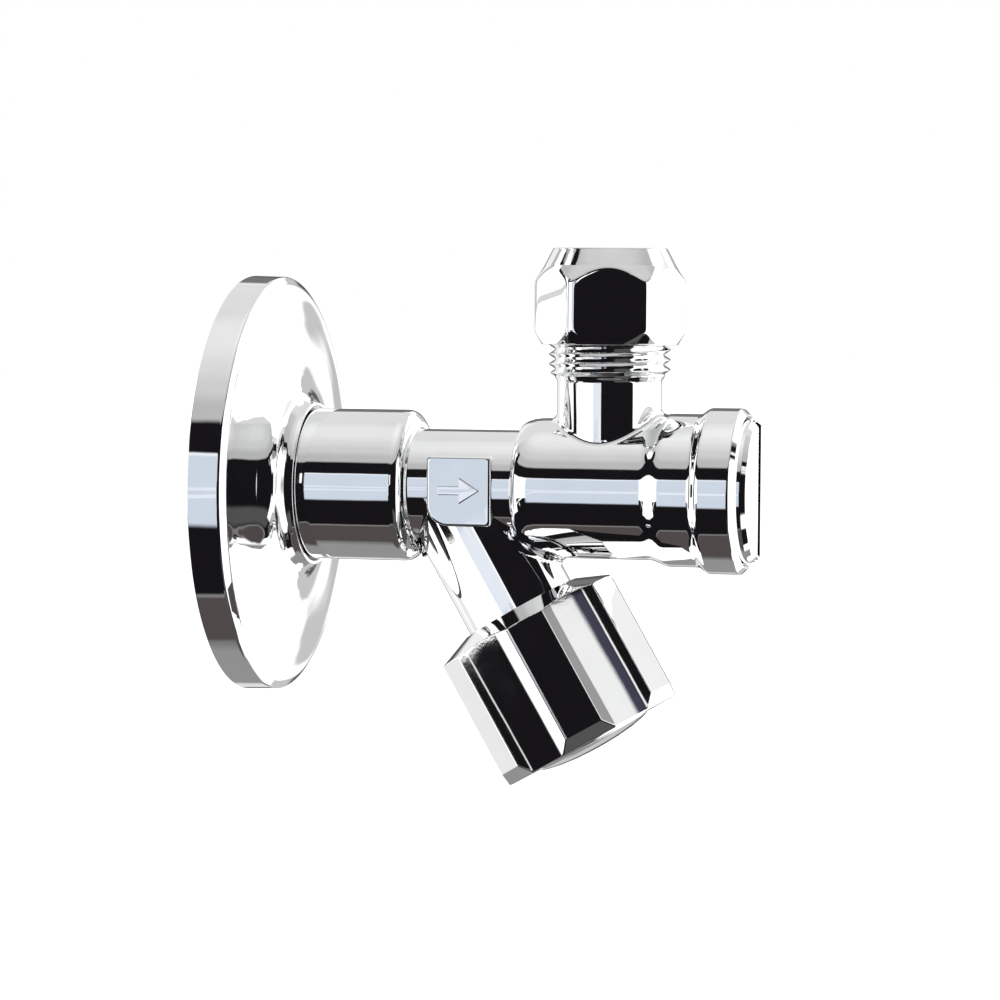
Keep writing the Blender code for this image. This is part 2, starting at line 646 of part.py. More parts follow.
def handle_screw(handle):
    outline = [(32.0, 0.0), (32.0, 1.25), (37.5, 1.25), (37.5, 3.4), (38.3, 3.4), (38.7, 2.9)]
    outline += [(38.7, 0.0)]
    made = turned("handle_screw", handle, outline, STEEL, 16)
    return combine(made, box("drive", handle, (-4.0, -0.4, 38.1), (4.0, 0.4, 39.5)), "DIFFERENCE")


def handle_cap(handle):
    """Domed cover that snaps into the end of the knob over its screw."""
    outline = [(39.2, 0.0), (39.2, 8.5), (HANDLE_END, 8.5)]
    outline += [(40.3, 8.1), (40.75, 6.4), (41.05, 4.3), (41.2, 2.1), (41.25, 0.0)]
    return turned("handle_cap", handle, outline, CHROME, 28)


def build():
    clear_scene()
    world = axis_frame("wall_origin", 0.0, 0.0)
    tube = axis_frame("tube_axis", 0.0, math.radians(90.0))
    outlet = axis_frame("outlet_axis", OUTLET_X, 0.0)
    handle = axis_frame("handle_axis", HANDLE_X, HANDLE_TILT)
    bpy.context.view_layer.update()
    valve_body(world, tube, outlet, handle)
    wall_escutcheon(tube)
    inlet_seal_ring(tube)
    compression_nut(outlet)
    compression_ferrule(outlet)
    filter_cap(tube, world)
    ring_section("filter_cap_o_ring", tube, 59.3, 7.1, 1.4, RUBBER)
    filter_frame(tube)
    filter_screen(tube)
    bonnet(handle)
    bonnet_gasket(handle)
    spindle(handle)
    spindle_o_rings(handle)
    spindle_clip(handle)
    valve_plunger(handle)
    seat_washer(handle)
    washer_screw(handle)
    handle_knob(handle)
    handle_screw(handle)
    handle_cap(handle)


build()
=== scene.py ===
"""The looks of a chrome angle stop valve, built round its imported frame.

Shapes are worked out in millimetres in the frame of one of the valve's three axes,
and meshes are made in metres in the frame's own space. A turned outline lists
(place along the axis, distance from it), with a corner radius where it isn't the usual.
"""

import json
import math

import bpy
import numpy as np
from mathutils import Matrix, Vector


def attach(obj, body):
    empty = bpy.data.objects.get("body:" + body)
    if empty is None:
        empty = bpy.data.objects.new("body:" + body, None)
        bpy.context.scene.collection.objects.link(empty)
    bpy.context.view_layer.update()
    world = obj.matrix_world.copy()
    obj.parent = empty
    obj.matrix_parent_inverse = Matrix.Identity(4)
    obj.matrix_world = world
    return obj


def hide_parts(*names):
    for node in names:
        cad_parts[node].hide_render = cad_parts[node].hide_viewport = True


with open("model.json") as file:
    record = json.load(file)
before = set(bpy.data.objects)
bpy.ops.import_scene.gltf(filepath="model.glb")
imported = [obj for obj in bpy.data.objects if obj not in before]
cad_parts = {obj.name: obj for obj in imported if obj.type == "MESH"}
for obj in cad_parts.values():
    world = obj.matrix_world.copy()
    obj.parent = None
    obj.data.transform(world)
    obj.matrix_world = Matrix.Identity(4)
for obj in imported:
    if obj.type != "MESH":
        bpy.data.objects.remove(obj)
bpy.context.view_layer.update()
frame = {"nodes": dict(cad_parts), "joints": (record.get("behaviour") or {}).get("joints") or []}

MM = 0.001
CURVE = 60.0  # corner radius that turns a run of points into a smooth curve
JOINTS = {joint["name"]: joint for joint in frame["joints"]}


def axis_matrix(origin, tilt):
    """Local +Z onto one of the valve's axes, which all lie in the XZ plane; millimetres."""
    return Matrix.Translation(Vector(origin) / MM) @ Matrix.Rotation(tilt, 4, "Y")


def tilt_of(direction):
    return math.atan2(direction[0], direction[2])


WORLD = Matrix.Identity(4)
TUBE = axis_matrix((0.0, 0.0, 0.0), math.radians(90.0))
OUTLET = axis_matrix(JOINTS["nut_spin"]["pos_m"], 0.0)
HANDLE = axis_matrix(JOINTS["handle_turn"]["pos_m"], tilt_of(JOINTS["handle_turn"]["axis"]))


def span(node, matrix):
    """Lowest and highest place of a frame node along an axis, and its reach from it."""
    local = matrix.inverted()
    points = [local @ (vert.co / MM) for vert in frame["nodes"][node].data.vertices]
    along = [point.z for point in points]
    return min(along), max(along), max(math.hypot(point.x, point.y) for point in points)


INLET_END, BODY_END, _ = span("valve_body", TUBE)
PLATE_BACK, PLATE_FACE, PLATE_RADIUS = span("wall_escutcheon", TUBE)
CAP_START, CAP_FACE, CAP_HEAD_RADIUS = span("filter_cap", TUBE)
NUT_BOTTOM, NUT_TOP, _ = span("compression_nut", OUTLET)
KNOB_START, KNOB_END, _ = span("handle", HANDLE)
COVER_START, COVER_TOP, COVER_RADIUS = span("handle_cap", HANDLE)

COLLAR_RADIUS = 10.48
NECK_RADIUS = 7.85
CHAMBER_RADIUS = 9.6
MIDDLE_RADIUS = 10.45
RIM_RADIUS = 11.3
PIPE_RADIUS = 7.15
BOSS_RADIUS = 7.85
BOSS_END = 21.3
OUTLET_TOP = 25.4
THREAD_START = 15.4
INLET_THREAD_END = 2.4
JUNCTION_FILLET = 1.0
CHECK_REACH = 0.03  # how near a surface a mesh point must be to take its normal
FAR_AWAY = 99.0


# Outlines

def rounded(corners, radius=0.2, closed=True):
    """Outline with each corner made an arc, as rows of (along, out, normal along, normal out)."""
    count = len(corners)
    spots = [Vector(corner[:2]) for corner in corners]
    area = sum(a.x * b.y - b.x * a.y for a, b in zip(spots, spots[1:] + spots[:1]))
    side = 1.0 if area > 0 else -1.0

    def outward(angle):
        return Vector((math.sin(angle), -math.cos(angle))) * side

    rows = []
    for i, corner in enumerate(corners):
        here = spots[i]
        arriving = here - spots[i - 1]
        leaving = spots[(i + 1) % count] - here
        if not closed and i == 0:
            rows.append((*here, *outward(math.atan2(leaving.y, leaving.x))))
            continue
        heading = math.atan2(arriving.y, arriving.x)
        if not closed and i == count - 1:
            rows.append((*here, *outward(heading)))
            continue
        turn = math.atan2(leaving.y, leaving.x) - heading
        turn = (turn + math.pi) % math.tau - math.pi
        slack = max(math.tan(abs(turn) / 2), 1e-6)
        wanted = corner[2] if len(corner) > 2 else radius
        size = min(wanted, 0.48 * arriving.length / slack, 0.48 * leaving.length / slack)
        start = here - arriving.normalized() * size * slack
        bulge = 1.0 if turn * side > 0 else -1.0
        centre = start - outward(heading) * size * bulge
        steps = max(1, math.ceil(abs(turn) / math.radians(11.0)))
        for step in range(steps + 1):
            normal = outward(heading + turn * step / steps)
            rows.append((*(centre + normal * size * bulge), *normal))
    return np.array(rows)


def dense(rows, step, closed=False):
    """The same outline with extra rows wherever two are more than a step apart."""
    following = np.roll(rows, -1, axis=0) if closed else rows[1:]
    result = []
    for row, after in zip(rows, following):
        pieces = max(1, math.ceil(np.hypot(*(after - row)[:2]) / step))
        for i in range(pieces):
            result.append(row + (after - row) * i / pieces)
    if not closed:
        result.append(rows[-1])
    return np.array(result)


def curve(points):
    """Points of an outline that a smooth curve runs through."""
    return [(along, out, CURVE) for along, out in points]


def smooth_step(start, end, steps=6):
    """An S-shaped rise from one (along, out) point to another, both included."""
    points = [start]
    for i in range(1, steps):
        share = i / steps
        rise = share * share * (3.0 - 2.0 * share)
        points.append((start[0] + (end[0] - start[0]) * share, start[1] + (end[1] - start[1]) * rise))
    return curve(points + [end])


def quarter(centre, radii, start, end, steps=5):
    """A stretch of an ellipse from one angle in degrees to another."""
    points = []
    for i in range(steps + 1):
        angle = math.radians(start + (end - start) * i / steps)
        points.append((centre[0] + radii[0] * math.cos(angle), centre[1] + radii[1] * math.sin(angle)))
    return curve(points)


# Meshes

def mesh_object(name, points, faces, matrix):
    """A new object from points in millimetres in the frame of an axis."""
    turned_points = np.asarray(points) @ np.array(matrix.to_3x3()).T + np.array(matrix.translation)
    mesh = bpy.data.meshes.new(name)
    mesh.from_pydata((turned_points * MM).tolist(), [], faces)
    mesh.update()
    made = bpy.data.objects.new(name, mesh)
    bpy.context.scene.collection.objects.link(made)
    return made


def grid_faces(rows, columns, wrap_rows):
    """Quads over a grid of points whose columns go round an axis."""
    faces = []
    for i in range(rows if wrap_rows else rows - 1):
        here = i * columns
        there = ((i + 1) % rows) * columns
        for j in range(columns):
            k = (j + 1) % columns
            faces.append((here + j, here + k, there + k, there + j))
    return faces


def skin(name, points, normals, matrix, closed=True):
    """A ring or, if it isn't closed, a solid that starts and ends on its axis.

    Points and normals are grids of rows, one for each place on the outline.
    """
    rows, columns = points.shape[:2]
    faces = grid_faces(rows, columns, closed)
    flat_points = points.reshape(-1, 3)
    flat_normals = normals.reshape(-1, 3)
    if not closed:
        poles = [points[0].mean(axis=0), points[-1].mean(axis=0)]
        first = rows * columns
        last = (rows - 1) * columns
        for j in range(columns):
            k = (j + 1) % columns
            faces.append((first, k, j))
            faces.append((first + 1, last + j, last + k))
        flat_points = np.vstack([flat_points, poles])
        ends = [normals[0].mean(axis=0), normals[-1].mean(axis=0)]
        flat_normals = np.vstack([flat_normals, ends])
    a, b, c = (flat_points[i] for i in faces[len(faces) // 2][:3])
    if np.dot(np.cross(b - a, c - a), flat_normals[faces[len(faces) // 2][0]]) < 0:
        faces = [face[::-1] for face in faces]
    made = mesh_object(name, flat_points, faces, matrix)
    turned_normals = flat_normals @ np.array(matrix.to_3x3()).T
    made.data.normals_split_custom_set_from_vertices(turned_normals.tolist())
    return made


def profile_rows(rows, angles):
    """Rows of a turned outline at the given angles."""
    ahead = np.stack([np.cos(angles), np.sin(angles)], axis=1)
    points = np.empty((len(rows), len(angles), 3))
    normals = np.empty_like(points)
    points[:, :, :2] = rows[:, None, 1:2] * ahead
    points[:, :, 2] = rows[:, None, 0]
    normals[:, :, :2] = rows[:, None, 3:4] * ahead
    normals[:, :, 2] = rows[:, None, 2]
    return points, normals


def turned(name, rows, matrix, columns=192, closed=True):
    """Spins an outline round its axis."""
    if not closed:
        rows = rows[rows[:, 1] > 1e-6]
    points, normals = profile_rows(rows, np.linspace(0.0, math.tau, columns, endpoint=False))
    return skin(name, points, normals, matrix, closed)


def slopes(reach, angle, place):
    """reach and how fast it changes round and along its axis."""
    small = 1e-3
    round_slope = (reach(angle + small, place) - reach(angle - small, place)) / (2 * small)
    along_slope = (reach(angle, place + small) - reach(angle, place - small)) / (2 * small)
    return reach(angle, place), round_slope, along_slope


def reach_rows(reach, angles, along):
    """Points and normals on the surface at distance reach(angle, along) from an axis."""
    angle, place = np.meshgrid(angles, along)
    out, slope_round, slope_along = slopes(reach, angle, place)
    ahead = np.stack([np.cos(angle), np.sin(angle)], axis=2)
    aside = np.stack([-np.sin(angle), np.cos(angle)], axis=2)
    points = np.dstack([ahead * out[:, :, None], place])
    normals = np.dstack([ahead - aside * (slope_round / out)[:, :, None], -slope_along])
    return points, normals / np.linalg.norm(normals, axis=2, keepdims=True)


def edge_rows(points, normals, edge, direction):
    """Rows that round the end of a skin over into a flat end face."""
    rows = []
    row_normals = []
    side = normals.copy()
    side[:, 2] = 0.0
    side /= np.linalg.norm(side, axis=1, keepdims=True)
    up = np.array([0.0, 0.0, direction])
    for degrees in (15.0, 30.0, 45.0, 60.0, 75.0, 90.0):
        angle = math.radians(degrees)
        rows.append(points - side * edge * (1.0 - math.cos(angle)) + up * edge * math.sin(angle))
        row_normals.append(side * math.cos(angle) + up * math.sin(angle))
    return np.array(rows), np.array(row_normals)


def combine(target, others, operation):
    """Joins or cuts the target with closed pieces, which are used up."""
    for other in others:
        change = target.modifiers.new(operation.lower(), "BOOLEAN")
        change.operation = operation
        change.object = other
        change.solver = "MANIFOLD"
        bpy.context.view_layer.update()
        graph = bpy.context.evaluated_depsgraph_get()
        baked = bpy.data.meshes.new_from_object(target.evaluated_get(graph))
        target.modifiers.clear()
        target.data = baked
        bpy.data.objects.remove(other, do_unlink=True)
    return target


# Surfaces that shading normals are read from: each gives distances and normals at points

def to_local(points, matrix):
    rotation = np.array(matrix.to_3x3())
    return (points - np.array(matrix.translation)) @ rotation


def to_world_direction(directions, matrix):
    return directions @ np.array(matrix.to_3x3()).T


def turned_surface(rows, matrix, closed=False):
    """Distance to a turned outline, and the outline's own normal at the nearest place."""
    after = np.roll(rows, -1, axis=0) if closed else rows[1:]
    before = rows if closed else rows[:-1]
    edge = (after - before)[:, :2]
    length = np.maximum((edge ** 2).sum(axis=1), 1e-12)

    def measure(points):
        local = to_local(points, matrix)
        out = np.hypot(local[:, 0], local[:, 1])
        distances = np.empty(len(points))
        flat_normals = np.empty((len(points), 2))
        for start in range(0, len(points), 8000):
            part = slice(start, start + 8000)
            spot = np.stack([local[part, 2], out[part]], axis=1)
            offset = spot[:, None, :] - before[None, :, :2]
            share = np.clip((offset * edge).sum(axis=2) / length, 0.0, 1.0)
            gap = offset - share[:, :, None] * edge
            squared = (gap ** 2).sum(axis=2)
            nearest = squared.argmin(axis=1)
            pick = np.arange(len(spot))
            blend = share[pick, nearest][:, None]
            normal = before[nearest, 2:] * (1.0 - blend) + after[nearest, 2:] * blend
            normal /= np.maximum(np.linalg.norm(normal, axis=1, keepdims=True), 1e-9)
            flat_normals[part] = normal
            sign = np.where((gap[pick, nearest] * normal).sum(axis=1) < 0, -1.0, 1.0)
            distances[part] = sign * np.sqrt(squared[pick, nearest])
        ahead = local[:, :2] / np.maximum(out, 1e-9)[:, None]
        normals = np.column_stack([ahead * flat_normals[:, 1:], flat_normals[:, 0]])
        return distances, to_world_direction(normals, matrix)

    return measure


def reach_surface(reach, matrix, low, high):
    """Distance to a surface given by its reach from an axis, between two places on it."""
    def measure(points):
        local = to_local(points, matrix)
        angle = np.arctan2(local[:, 1], local[:, 0])
        out, slope_round, slope_along = slopes(reach, angle, local[:, 2])
        here = np.hypot(local[:, 0], local[:, 1])
        ahead = np.column_stack([np.cos(angle), np.sin(angle), np.zeros(len(angle))])
        aside = np.column_stack([-np.sin(angle), np.cos(angle), np.zeros(len(angle))])
        normals = ahead - aside * (slope_round / out)[:, None]
        normals[:, 2] -= slope_along
        size = np.linalg.norm(normals, axis=1)
        distances = (here - out) / size
        distances[(local[:, 2] < low) | (local[:, 2] > high)] = FAR_AWAY
        return distances, to_world_direction(normals / size[:, None], matrix)

    return measure


def filleted(surfaces, radius):
    """The union of surfaces with a rolling-ball fillet wherever two of them meet."""
    def measure(points):
        near, near_normal = surfaces[0](points)
        for surface in surfaces[1:]:
            other, other_normal = surface(points)
            cosine = (near_normal * other_normal).sum(axis=1)
            sine = np.maximum(1.0 - cosine ** 2, 1e-4)
            u = radius - near
            v = radius - other
            share_near = (u - v * cosine) / sine
            share_other = (v - u * cosine) / sine
            inside = (share_near > 0) & (share_other > 0) & (u > 0) & (v > 0)
            pull = share_near[:, None] * near_normal + share_other[:, None] * other_normal
            length = np.maximum(np.linalg.norm(pull, axis=1), 1e-9)
            closer = other < near
            distance = np.where(closer, other, near)
            normal = np.where(closer[:, None], other_normal, near_normal)
            near = np.where(inside, radius - length, distance)
            near_normal = np.where(inside[:, None], pull / length[:, None], normal)
        return near, near_normal

    return measure


def mesh_points(made):
    values = np.empty(len(made.data.vertices) * 3)
    made.data.vertices.foreach_get("co", values)
    return values.reshape(-1, 3) / MM


def settle(made, surface, reach):
    """Moves the points that a fillet has lifted off the surface out onto it."""
    points = mesh_points(made)
    distance, _ = surface(points)
    moving = (distance < -1e-4) & (distance > -reach)
    for _ in range(4):
        distance, normal = surface(points[moving])
        points[moving] -= distance[:, None] * normal
    made.data.vertices.foreach_set("co", (points * MM).ravel())
    made.data.update()


def polish(made, surfaces=(), smooth_angle=32.0):
    """Sets shading normals: exact ones on the surfaces, area-weighted ones elsewhere."""
    mesh = made.data
    loops = len(mesh.loops)
    corner_vertex = np.empty(loops, dtype=np.int64)
    mesh.loops.foreach_get("vertex_index", corner_vertex)
    face_sizes = np.empty(len(mesh.polygons), dtype=np.int64)
    mesh.polygons.foreach_get("loop_total", face_sizes)
    corner_face = np.repeat(np.arange(len(face_sizes)), face_sizes)
    face_normals = np.empty(len(face_sizes) * 3)
    mesh.polygons.foreach_get("normal", face_normals)
    face_normals = face_normals.reshape(-1, 3)
    areas = np.empty(len(face_sizes))
    mesh.polygons.foreach_get("area", areas)
    own = face_normals[corner_face]

    order = np.argsort(corner_vertex, kind="stable")
    shared = np.bincount(corner_vertex, minlength=len(mesh.vertices))
    starts = np.cumsum(shared) - shared
    sizes = shared[corner_vertex]
    first = np.repeat(np.arange(loops), sizes)
    offset = np.arange(len(first)) - np.repeat(np.cumsum(sizes) - sizes, sizes)
    second = order[np.repeat(starts[corner_vertex], sizes) + offset]
    alike = (own[first] * own[second]).sum(axis=1) > math.cos(math.radians(smooth_angle))
    weight = np.where(alike, areas[corner_face[second]], 0.0)
    result = np.empty((loops, 3))
    for axis in range(3):
        result[:, axis] = np.bincount(first, weights=weight * own[second, axis], minlength=loops)

    points = mesh_points(made)
    open_corners = np.ones(loops, dtype=bool)
    for surface in surfaces:
        distance, normal = surface(points)
        fits = open_corners & (np.abs(distance[corner_vertex]) < CHECK_REACH)
        fits &= (normal[corner_vertex] * own).sum(axis=1) > 0.7
        result[fits] = normal[corner_vertex][fits]
        open_corners &= ~fits
    result /= np.maximum(np.linalg.norm(result, axis=1, keepdims=True), 1e-12)
    mesh.polygons.foreach_set("use_smooth", np.ones(len(face_sizes), dtype=bool))
    mesh.normals_split_custom_set(result.tolist())
    return made


# Materials

def shader_tree(name):
    made = bpy.data.materials.new(name)
    made.use_nodes = True
    nodes = made.node_tree.nodes
    return made, nodes, made.node_tree.links, nodes["Principled BSDF"]


def noise(nodes, links, scale, detail=3.0, stretch=None):
    """Noise over the piece's own space; the scale is in bumps per metre."""
    place = nodes.new("ShaderNodeTexCoord")
    texture = nodes.new("ShaderNodeTexNoise")
    texture.inputs["Scale"].default_value = scale
    texture.inputs["Detail"].default_value = detail
    source = place.outputs["Object"]
    if stretch:
        mapping = nodes.new("ShaderNodeMapping")
        mapping.inputs["Scale"].default_value = stretch
        links.new(source, mapping.inputs["Vector"])
        source = mapping.outputs["Vector"]
    links.new(source, texture.inputs["Vector"])
    return texture.outputs["Fac"]


def spread(nodes, links, source, low, high):
    """Maps the middle of a noise onto a range."""
    scale = nodes.new("ShaderNodeMapRange")
    scale.inputs["From Min"].default_value = 0.3
    scale.inputs["From Max"].default_value = 0.7
    scale.inputs["To Min"].default_value = low
    scale.inputs["To Max"].default_value = high
    links.new(source, scale.inputs["Value"])
    return scale.outputs["Result"]


def mottled(nodes, links, source, first, second):
    """A colour that wanders between two others."""
    ramp = nodes.new("ShaderNodeValToRGB")
    ramp.color_ramp.elements[0].position = 0.3
    ramp.color_ramp.elements[0].color = (*first, 1.0)
    ramp.color_ramp.elements[1].position = 0.7
    ramp.color_ramp.elements[1].color = (*second, 1.0)
    links.new(source, ramp.inputs["Fac"])
    return ramp.outputs["Color"]


def relief(nodes, links, heights, depth):
    """A bump from one or more height sources, each with its share of the depth in metres."""
    normal = None
    for source, share in heights:
        bump = nodes.new("ShaderNodeBump")
        bump.inputs["Strength"].default_value = 1.0
        bump.inputs["Distance"].default_value = depth * share
        links.new(source, bump.inputs["Height"])
        if normal:
            links.new(normal, bump.inputs["Normal"])
        normal = bump.outputs["Normal"]
    return normal


def chrome(name, waviness=1.0):
    """Bright chrome plate: faint polishing waves, a haze that varies, and fine wipe marks."""
    made, nodes, links, shader = shader_tree(name)
    shader.inputs["Metallic"].default_value = 1.0
    haze = noise(nodes, links, 260.0, 4.0)
    wipes = noise(nodes, links, 2600.0, 2.0, (1.0, 0.25, 1.0))
    waves = noise(nodes, links, 120.0, 1.0)
    tint = mottled(nodes, links, haze, (0.915, 0.92, 0.925), (0.95, 0.953, 0.955))
    links.new(tint, shader.inputs["Base Color"])
    links.new(spread(nodes, links, haze, 0.012, 0.035), shader.inputs["Roughness"])
    normal = relief(nodes, links, ((waves, waviness), (wipes, 0.012)), 3.0e-5)
    links.new(normal, shader.inputs["Normal"])
    return made


def turned_metal(name, dark, light, roughness, grain):
    """Machined brass or steel with fine tool marks."""
    made, nodes, links, shader = shader_tree(name)
    shader.inputs["Metallic"].default_value = 1.0
    patches = noise(nodes, links, 300.0, 3.0)
    marks = noise(nodes, links, grain, 2.0, (1.0, 0.12, 0.12))
    links.new(mottled(nodes, links, patches, dark, light), shader.inputs["Base Color"])
    links.new(spread(nodes, links, marks, roughness - 0.06, roughness + 0.08), shader.inputs["Roughness"])
    links.new(relief(nodes, links, ((marks, 1.0),), 6.0e-6), shader.inputs["Normal"])
    return made


def moulded(name, dark, light, roughness, grain, depth):
    """Rubber, plastic or fibre with a fine grain."""
    made, nodes, links, shader = shader_tree(name)
    patches = noise(nodes, links, 400.0, 4.0)
    bumps = noise(nodes, links, grain, 3.0)
    links.new(mottled(nodes, links, patches, dark, light), shader.inputs["Base Color"])
    links.new(spread(nodes, links, bumps, roughness - 0.08, roughness + 0.08), shader.inputs["Roughness"])
    links.new(relief(nodes, links, ((bumps, 1.0),), depth), shader.inputs["Normal"])
    return made


CHROME_BODY = chrome("cast_and_plated_chrome", 1.0)
CHROME_TURNED = chrome("turned_and_plated_chrome", 0.5)
CHROME_PRESSED = chrome("pressed_and_plated_chrome", 1.4)
BRASS = turned_metal("turned_brass", (0.62, 0.42, 0.17), (0.74, 0.54, 0.25), 0.28, 5200.0)
STEEL = turned_metal("stainless_steel", (0.46, 0.46, 0.47), (0.58, 0.58, 0.58), 0.26, 4800.0)
RUBBER = moulded("black_rubber", (0.012, 0.012, 0.012), (0.028, 0.028, 0.027), 0.62, 9000.0, 1.2e-5)
PLASTIC = moulded("white_plastic", (0.71, 0.71, 0.68), (0.79, 0.79, 0.76), 0.42, 6000.0, 6.0e-6)
PTFE = moulded("ptfe", (0.80, 0.80, 0.77), (0.87, 0.87, 0.85), 0.5, 4000.0, 5.0e-6)
FIBRE = moulded("red_fibre", (0.20, 0.045, 0.03), (0.36, 0.10, 0.06), 0.8, 3500.0, 3.0e-5)


def finish_piece(made, material, body, slot, *nodes):
    """Gives a piece its material and its place in the frame."""
    made.data.materials.clear()
    made.data.materials.append(material)
    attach(made, body)
    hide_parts(*nodes)
    return made


# Threads

def thread_reach(root, crest, pitch, low, high, base):
    """A right-hand V thread with rounded crests and roots that fades out at both ends."""
    def reach(angle, along):
        turn = along / pitch - angle / math.tau
        wave = 0.5 + np.arcsin(0.94 * np.sin(math.tau * turn)) / (2.0 * math.asin(0.94))
        fade = np.clip(np.minimum((along - low) / 0.7, (high - along) / 0.9), 0.0, 1.0)
        fade = fade * fade * (3.0 - 2.0 * fade)
        return base(along) + (root - base(along)) * fade + (crest - root) * wave * fade

    return reach


def outlet_base(along):
    """Plain pipe that swells a little just below the thread."""
    share = np.clip((along - 14.6) / 1.2, 0.0, 1.0)
    return PIPE_RADIUS + 0.45 * share * share * (3.0 - 2.0 * share)


OUTLET_REACH = thread_reach(7.45, 8.33, 1.337, THREAD_START, OUTLET_TOP, outlet_base)
INLET_REACH = thread_reach(
    9.32, COLLAR_RADIUS, 1.814, INLET_END, INLET_THREAD_END, lambda along: 9.25 + 0.0 * along
)


def reach_solid(name, reach, along, columns, matrix):
    """A closed rod with the given surface."""
    angles = np.linspace(0.0, math.tau, columns, endpoint=False)
    points, normals = reach_rows(reach, angles, along)
    return skin(name, points, normals, matrix, closed=False)


# Valve body

def body_outline():
    """Collar, neck, strainer chamber, two swelling steps and a chamfered rim."""
    outline = [(1.9, 0.0), (1.9, 9.22), (5.0, 9.22), (5.0, COLLAR_RADIUS, 0.3)]
    outline += quarter((22.5, 8.6), (1.6, COLLAR_RADIUS - 8.6), 90, 0)
    outline += [(24.1, NECK_RADIUS, 0.7), (39.0, NECK_RADIUS, 0.5)]
    outline += quarter((42.0, 8.4), (3.0, CHAMBER_RADIUS - 8.4), 180, 90)
    outline += smooth_step((57.1, CHAMBER_RADIUS), (59.8, MIDDLE_RADIUS))
    outline += smooth_step((63.8, MIDDLE_RADIUS), (65.4, RIM_RADIUS))
    outline += [(BODY_END - 0.8, RIM_RADIUS, 0.5), (BODY_END, RIM_RADIUS - 0.8, 0.3), (BODY_END, 0.0)]
    return dense(rounded(outline, closed=False), 0.32)


def pad_outline(inset):
    """Outline of the flow pad in X and Z, drawn in by an inset, its lower inner corner round."""
    low_x, high_x = 27.2 + inset, 36.3 - inset
    low_z, high_z = -5.1 + inset, 4.5 - inset
    corner = 3.0 - inset
    small = 0.6
    points = []
    spots = (
        (low_x + corner, low_z + corner, corner, 180.0),
        (high_x - small, low_z + small, small, 270.0),
        (high_x - small, high_z - small, small, 0.0),
        (low_x + small, high_z - small, small, 90.0),
    )
    for x, z, radius, start in spots:
        for step in range(9):
            angle = math.radians(start + 90.0 * step / 8)
            points.append((x + radius * math.cos(angle), z + radius * math.sin(angle)))
    return points


def loft(name, rings, matrix):
    """A closed piece through rings of points, each with the same count."""
    count = len(rings[0])
    points = [point for ring in rings for point in ring]
    faces = grid_faces(len(rings), count, False)
    faces.append(tuple(range(count - 1, -1, -1)))
    faces.append(tuple(range((len(rings) - 1) * count, len(rings) * count)))
    volume = 0.0
    for face in faces:
        a = np.array(points[face[0]])
        for second, third in zip(face[1:], face[2:]):
            volume += np.dot(a, np.cross(points[second], points[third]))
    if volume < 0:
        faces = [face[::-1] for face in faces]
    return mesh_object(name, points, faces, matrix)


def flow_pad():
    """Flat pad on the neck with softly rounded edges, for the flow arrow to stand on."""
    face, edge = -8.25, 0.42
    rings = [[(x, -4.0, z) for x, z in pad_outline(0.0)]]
    for degrees in (0.0, 15.0, 30.0, 45.0, 60.0, 75.0, 90.0):
        angle = math.radians(degrees)
        inset = edge * (1.0 - math.cos(angle))
        depth = face + edge * (1.0 - math.sin(angle))
        rings.append([(x, depth, z) for x, z in pad_outline(inset)])
    return loft("pad", rings, WORLD)


def flow_arrow():
    """Raised arrow on the pad that points from the inlet to the outlet side."""
    tail, head, tip, shaft, barb, middle = 28.9, 31.9, 34.7, 0.6, 1.8, -0.2
    rings = []
    for depth, inset in ((-8.1, 0.0), (-8.42, 0.0), (-8.5, 0.04), (-8.54, 0.12)):
        half = shaft - inset
        wing = barb - 1.8 * inset
        front = tip - 1.8 * inset
        outline = [(tail + inset, -half), (head, -half), (head, -wing), (front, 0.0)]
        outline += [(head, wing), (head, half), (tail + inset, half)]
        rings.append([(x, depth, z + middle) for x, z in outline])
    return loft("arrow", rings, WORLD)


def body_bores():
    """The same water way as the frame's: inlet, port, valve bore, passage, chamber, socket."""
    inlet = [(INLET_END - 1.0, 0.0), (INLET_END - 1.0, 6.2), (INLET_END + 0.7, 5.5)]
    inlet += [(25.0, 5.5), (27.0, 3.0), (27.0, 0.0)]
    valve = [(-3.0, 0.0), (-3.0, 3.2), (6.0, 3.2), (6.0, 5.4), (11.8, 5.4), (11.8, 6.4)]
    valve += [(BOSS_END + 1.7, 6.4), (BOSS_END + 1.7, 0.0)]
    passage = [(36.0, 0.0), (36.0, 2.4), (42.5, 2.4), (42.5, 0.0)]
    chamber = [(41.5, 0.0), (41.5, 8.0), (60.6, 8.0), (60.6, 9.45), (69.0, 9.45), (69.0, 10.05)]
    chamber += [(BODY_END - 0.3, 10.05), (BODY_END + 0.7, 11.0), (BODY_END + 0.7, 0.0)]
    socket = [(0.0, 0.0), (0.0, 4.0), (13.5, 4.0), (13.5, 5.15), (22.2, 5.15), (22.6, 5.8)]
    socket += [(OUTLET_TOP, 6.85), (OUTLET_TOP + 1.1, 6.85), (OUTLET_TOP + 1.1, 0.0)]
    low_passage = TUBE @ Matrix.Translation((4.4, 0.0, 0.0))
    cuts = (
        ("inlet_bore", inlet, TUBE, 96),
        ("valve_bore", valve, HANDLE, 97),
        ("passage", passage, low_passage, 48),
        ("chamber", chamber, TUBE, 144),
        ("socket", socket, OUTLET, 98),
    )
    return [
        turned(name, rounded(outline, 0.05, closed=False), matrix, columns, closed=False)
        for name, outline, matrix, columns in cuts
    ]


